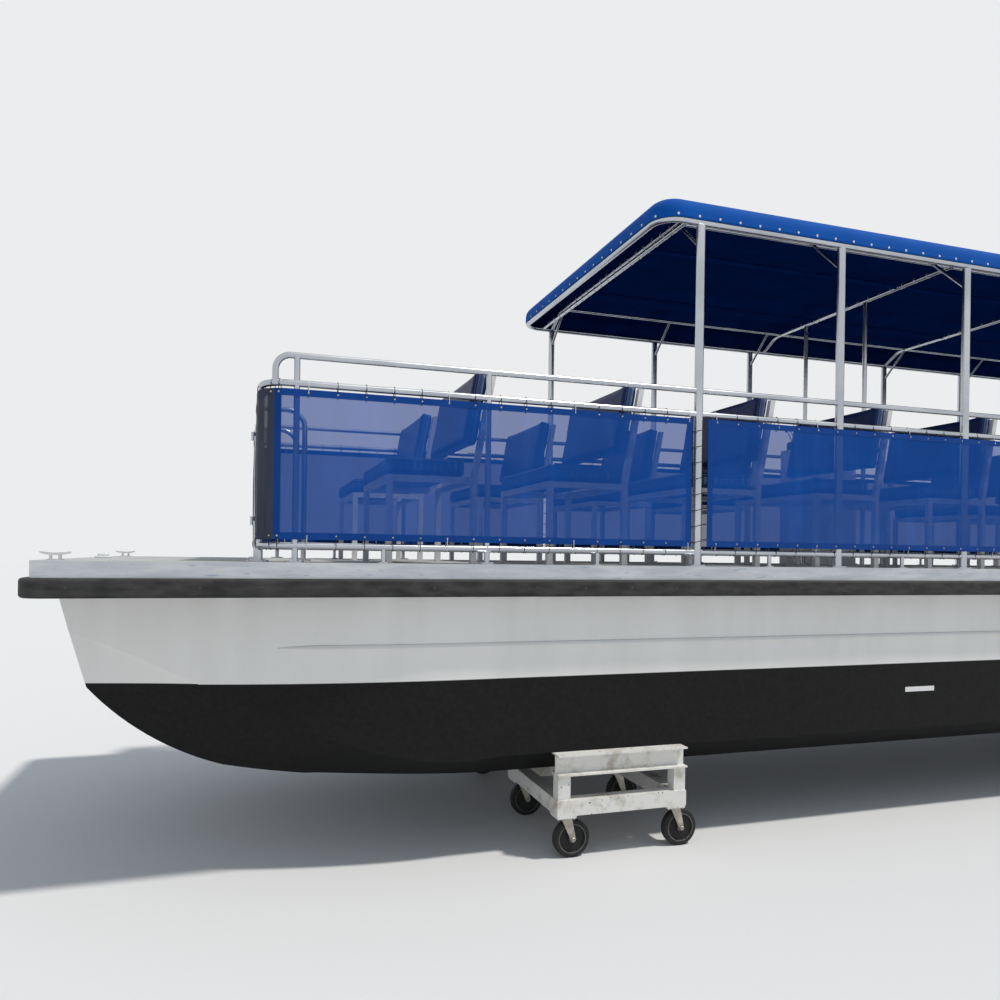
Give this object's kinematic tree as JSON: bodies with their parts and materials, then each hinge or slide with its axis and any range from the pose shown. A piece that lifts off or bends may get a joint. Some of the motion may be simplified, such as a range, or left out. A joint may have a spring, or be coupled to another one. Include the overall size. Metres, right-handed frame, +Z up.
{
  "type": "pontoon boat",
  "caption": "Twin-hulled passenger pontoon boat with railed deck, bench seats, canopy and outboard motors, standing on wheeled dollies.",
  "frame": {"origin": "on the floor under the middle of the whole outline", "axes": "+X aft, +Y to starboard, +Z up; the bow points to -X"},
  "size_m": [12.92, 2.59, 3.763],
  "materials": {
    "hull_paint": "gloss off-white over black antifouling",
    "deck_sheet": "worn grey non-slip covering",
    "aluminium": "polished tube and mill-finish frame",
    "rubber": "matte black",
    "canopy_cloth": "royal blue woven canvas",
    "mesh_cloth": "open royal blue netting",
    "white_paint": "white powder coat",
    "upholstery": "navy vinyl",
    "console_shell": "white moulding",
    "black_plastic": "black grained",
    "dolly_paint": "worn dirty white paint",
    "zinc_steel": "zinc plate",
    "motor_paint": "gloss black paint",
    "bright_steel": "polished blades"
  },
  "bodies": {
    "boat": {"hull_port": "hull_paint", "hull_starboard": "hull_paint", "deck": "deck_sheet", "deck_edge": "aluminium", "rub_rail": "rubber", "deck_frame": "aluminium", "rails": "aluminium", "canopy_posts": "aluminium", "canopy_frame": "aluminium", "canopy": "canopy_cloth", "mesh_panels": "mesh_cloth", "seat_frames": "white_paint", "seat_cushions": "upholstery", "seat_backs": "upholstery", "helm_console": "console_shell", "cleats": "aluminium", "dolly_frames": "dolly_paint", "motor_brackets": "motor_paint"},
    "caster_fork_01": {"caster_fork_01": "zinc_steel"},
    "caster_wheel_01": {"caster_wheel_01": "rubber"},
    "caster_fork_02": {"caster_fork_02": "zinc_steel"},
    "caster_wheel_02": {"caster_wheel_02": "rubber"},
    "caster_fork_03": {"caster_fork_03": "zinc_steel"},
    "caster_wheel_03": {"caster_wheel_03": "rubber"},
    "caster_fork_04": {"caster_fork_04": "zinc_steel"},
    "caster_wheel_04": {"caster_wheel_04": "rubber"},
    "caster_fork_05": {"caster_fork_05": "zinc_steel"},
    "caster_wheel_05": {"caster_wheel_05": "rubber"},
    "caster_fork_06": {"caster_fork_06": "zinc_steel"},
    "caster_wheel_06": {"caster_wheel_06": "rubber"},
    "caster_fork_07": {"caster_fork_07": "zinc_steel"},
    "caster_wheel_07": {"caster_wheel_07": "rubber"},
    "caster_fork_08": {"caster_fork_08": "zinc_steel"},
    "caster_wheel_08": {"caster_wheel_08": "rubber"},
    "caster_fork_09": {"caster_fork_09": "zinc_steel"},
    "caster_wheel_09": {"caster_wheel_09": "rubber"},
    "caster_fork_10": {"caster_fork_10": "zinc_steel"},
    "caster_wheel_10": {"caster_wheel_10": "rubber"},
    "caster_fork_11": {"caster_fork_11": "zinc_steel"},
    "caster_wheel_11": {"caster_wheel_11": "rubber"},
    "caster_fork_12": {"caster_fork_12": "zinc_steel"},
    "caster_wheel_12": {"caster_wheel_12": "rubber"},
    "caster_fork_13": {"caster_fork_13": "zinc_steel"},
    "caster_wheel_13": {"caster_wheel_13": "rubber"},
    "caster_fork_14": {"caster_fork_14": "zinc_steel"},
    "caster_wheel_14": {"caster_wheel_14": "rubber"},
    "caster_fork_15": {"caster_fork_15": "zinc_steel"},
    "caster_wheel_15": {"caster_wheel_15": "rubber"},
    "caster_fork_16": {"caster_fork_16": "zinc_steel"},
    "caster_wheel_16": {"caster_wheel_16": "rubber"},
    "helm_wheel": {"helm_wheel": "black_plastic"},
    "bow_gate": {"bow_gate": "aluminium"},
    "gate_port": {"gate_port": "aluminium"},
    "gate_starboard": {"gate_starboard": "aluminium"},
    "swivel_bracket_port": {"swivel_bracket_port": "motor_paint"},
    "motor_port": {"motor_port": "motor_paint"},
    "propeller_port": {"propeller_port": "bright_steel"},
    "swivel_bracket_starboard": {"swivel_bracket_starboard": "motor_paint"},
    "motor_starboard": {"motor_starboard": "motor_paint"},
    "propeller_starboard": {"propeller_starboard": "bright_steel"}
  },
  "joints": [
    {"name": "helm_turn", "type": "hinge", "parent": "boat", "child": "helm_wheel", "pos_m": [-0.67133, 0.62, 2.44983], "axis": [0.8944, 0, 0.4472], "range_deg": [-720, 720]},
    {"name": "bow_gate_swing", "type": "hinge", "parent": "boat", "child": "bow_gate", "pos_m": [-5.494, -0.3795, 2.013], "axis": [0, 0, 1], "range_deg": [0, 95]},
    {"name": "gate_port_swing", "type": "hinge", "parent": "boat", "child": "gate_port", "pos_m": [0.0695, -1.116, 2.013], "axis": [0, 0, -1], "range_deg": [0, 90]},
    {"name": "gate_starboard_swing", "type": "hinge", "parent": "boat", "child": "gate_starboard", "pos_m": [0.0695, 1.116, 2.013], "axis": [0, 0, 1], "range_deg": [0, 90]},
    {"name": "motor_tilt_port", "type": "hinge", "parent": "boat", "child": "swivel_bracket_port", "pos_m": [5.865, -0.825, 1.09], "axis": [0, -1, 0], "range_deg": [0, 65]},
    {"name": "motor_steer_port", "type": "hinge", "parent": "swivel_bracket_port", "child": "motor_port", "pos_m": [5.985, -0.825, 1.03], "axis": [0, 0, 1], "range_deg": [-30, 30]},
    {"name": "propeller_spin_port", "type": "hinge", "parent": "motor_port", "child": "propeller_port", "pos_m": [6.305, -0.825, 0.21], "axis": [1, 0, 0], "continuous": true},
    {"name": "motor_tilt_starboard", "type": "hinge", "parent": "boat", "child": "swivel_bracket_starboard", "pos_m": [5.865, 0.825, 1.09], "axis": [0, -1, 0], "range_deg": [0, 65]},
    {"name": "motor_steer_starboard", "type": "hinge", "parent": "swivel_bracket_starboard", "child": "motor_starboard", "pos_m": [5.985, 0.825, 1.03], "axis": [0, 0, 1], "range_deg": [-30, 30]},
    {"name": "propeller_spin_starboard", "type": "hinge", "parent": "motor_starboard", "child": "propeller_starboard", "pos_m": [6.305, 0.825, 0.21], "axis": [1, 0, 0], "continuous": true},
    {"name": "caster_swivel_01", "type": "hinge", "parent": "boat", "child": "caster_fork_01", "pos_m": [-3.8905, -1.1775, 0.2157], "axis": [0, 0, 1], "continuous": true},
    {"name": "caster_roll_01", "type": "hinge", "parent": "caster_fork_01", "child": "caster_wheel_01", "pos_m": [-3.8455, -1.1775, 0.1015], "axis": [0, 1, 0], "continuous": true},
    {"name": "caster_swivel_02", "type": "hinge", "parent": "boat", "child": "caster_fork_02", "pos_m": [-3.8905, -0.4725, 0.2157], "axis": [0, 0, 1], "continuous": true},
    {"name": "caster_roll_02", "type": "hinge", "parent": "caster_fork_02", "child": "caster_wheel_02", "pos_m": [-3.8455, -0.4725, 0.1015], "axis": [0, 1, 0], "continuous": true},
    {"name": "caster_swivel_03", "type": "hinge", "parent": "boat", "child": "caster_fork_03", "pos_m": [-3.2355, -1.1775, 0.2157], "axis": [0, 0, 1], "continuous": true},
    {"name": "caster_roll_03", "type": "hinge", "parent": "caster_fork_03", "child": "caster_wheel_03", "pos_m": [-3.1905, -1.1775, 0.1015], "axis": [0, 1, 0], "continuous": true},
    {"name": "caster_swivel_04", "type": "hinge", "parent": "boat", "child": "caster_fork_04", "pos_m": [-3.2355, -0.4725, 0.2157], "axis": [0, 0, 1], "continuous": true},
    {"name": "caster_roll_04", "type": "hinge", "parent": "caster_fork_04", "child": "caster_wheel_04", "pos_m": [-3.1905, -0.4725, 0.1015], "axis": [0, 1, 0], "continuous": true},
    {"name": "caster_swivel_05", "type": "hinge", "parent": "boat", "child": "caster_fork_05", "pos_m": [-3.8905, 0.4725, 0.2157], "axis": [0, 0, 1], "continuous": true},
    {"name": "caster_roll_05", "type": "hinge", "parent": "caster_fork_05", "child": "caster_wheel_05", "pos_m": [-3.8455, 0.4725, 0.1015], "axis": [0, 1, 0], "continuous": true},
    {"name": "caster_swivel_06", "type": "hinge", "parent": "boat", "child": "caster_fork_06", "pos_m": [-3.8905, 1.1775, 0.2157], "axis": [0, 0, 1], "continuous": true},
    {"name": "caster_roll_06", "type": "hinge", "parent": "caster_fork_06", "child": "caster_wheel_06", "pos_m": [-3.8455, 1.1775, 0.1015], "axis": [0, 1, 0], "continuous": true},
    {"name": "caster_swivel_07", "type": "hinge", "parent": "boat", "child": "caster_fork_07", "pos_m": [-3.2355, 0.4725, 0.2157], "axis": [0, 0, 1], "continuous": true},
    {"name": "caster_roll_07", "type": "hinge", "parent": "caster_fork_07", "child": "caster_wheel_07", "pos_m": [-3.1905, 0.4725, 0.1015], "axis": [0, 1, 0], "continuous": true},
    {"name": "caster_swivel_08", "type": "hinge", "parent": "boat", "child": "caster_fork_08", "pos_m": [-3.2355, 1.1775, 0.2157], "axis": [0, 0, 1], "continuous": true},
    {"name": "caster_roll_08", "type": "hinge", "parent": "caster_fork_08", "child": "caster_wheel_08", "pos_m": [-3.1905, 1.1775, 0.1015], "axis": [0, 1, 0], "continuous": true},
    {"name": "caster_swivel_09", "type": "hinge", "parent": "boat", "child": "caster_fork_09", "pos_m": [1.8955, -1.1775, 0.2157], "axis": [0, 0, 1], "continuous": true},
    {"name": "caster_roll_09", "type": "hinge", "parent": "caster_fork_09", "child": "caster_wheel_09", "pos_m": [1.9405, -1.1775, 0.1015], "axis": [0, 1, 0], "continuous": true},
    {"name": "caster_swivel_10", "type": "hinge", "parent": "boat", "child": "caster_fork_10", "pos_m": [1.8955, -0.4725, 0.2157], "axis": [0, 0, 1], "continuous": true},
    {"name": "caster_roll_10", "type": "hinge", "parent": "caster_fork_10", "child": "caster_wheel_10", "pos_m": [1.9405, -0.4725, 0.1015], "axis": [0, 1, 0], "continuous": true},
    {"name": "caster_swivel_11", "type": "hinge", "parent": "boat", "child": "caster_fork_11", "pos_m": [2.5505, -1.1775, 0.2157], "axis": [0, 0, 1], "continuous": true},
    {"name": "caster_roll_11", "type": "hinge", "parent": "caster_fork_11", "child": "caster_wheel_11", "pos_m": [2.5955, -1.1775, 0.1015], "axis": [0, 1, 0], "continuous": true},
    {"name": "caster_swivel_12", "type": "hinge", "parent": "boat", "child": "caster_fork_12", "pos_m": [2.5505, -0.4725, 0.2157], "axis": [0, 0, 1], "continuous": true},
    {"name": "caster_roll_12", "type": "hinge", "parent": "caster_fork_12", "child": "caster_wheel_12", "pos_m": [2.5955, -0.4725, 0.1015], "axis": [0, 1, 0], "continuous": true},
    {"name": "caster_swivel_13", "type": "hinge", "parent": "boat", "child": "caster_fork_13", "pos_m": [1.8955, 0.4725, 0.2157], "axis": [0, 0, 1], "continuous": true},
    {"name": "caster_roll_13", "type": "hinge", "parent": "caster_fork_13", "child": "caster_wheel_13", "pos_m": [1.9405, 0.4725, 0.1015], "axis": [0, 1, 0], "continuous": true},
    {"name": "caster_swivel_14", "type": "hinge", "parent": "boat", "child": "caster_fork_14", "pos_m": [1.8955, 1.1775, 0.2157], "axis": [0, 0, 1], "continuous": true},
    {"name": "caster_roll_14", "type": "hinge", "parent": "caster_fork_14", "child": "caster_wheel_14", "pos_m": [1.9405, 1.1775, 0.1015], "axis": [0, 1, 0], "continuous": true},
    {"name": "caster_swivel_15", "type": "hinge", "parent": "boat", "child": "caster_fork_15", "pos_m": [2.5505, 0.4725, 0.2157], "axis": [0, 0, 1], "continuous": true},
    {"name": "caster_roll_15", "type": "hinge", "parent": "caster_fork_15", "child": "caster_wheel_15", "pos_m": [2.5955, 0.4725, 0.1015], "axis": [0, 1, 0], "continuous": true},
    {"name": "caster_swivel_16", "type": "hinge", "parent": "boat", "child": "caster_fork_16", "pos_m": [2.5505, 1.1775, 0.2157], "axis": [0, 0, 1], "continuous": true},
    {"name": "caster_roll_16", "type": "hinge", "parent": "caster_fork_16", "child": "caster_wheel_16", "pos_m": [2.5955, 1.1775, 0.1015], "axis": [0, 1, 0], "continuous": true}
  ],
  "couplings": [
    {"joint": "motor_steer_starboard", "follows": "motor_steer_port", "ratio": 1}
  ]
}
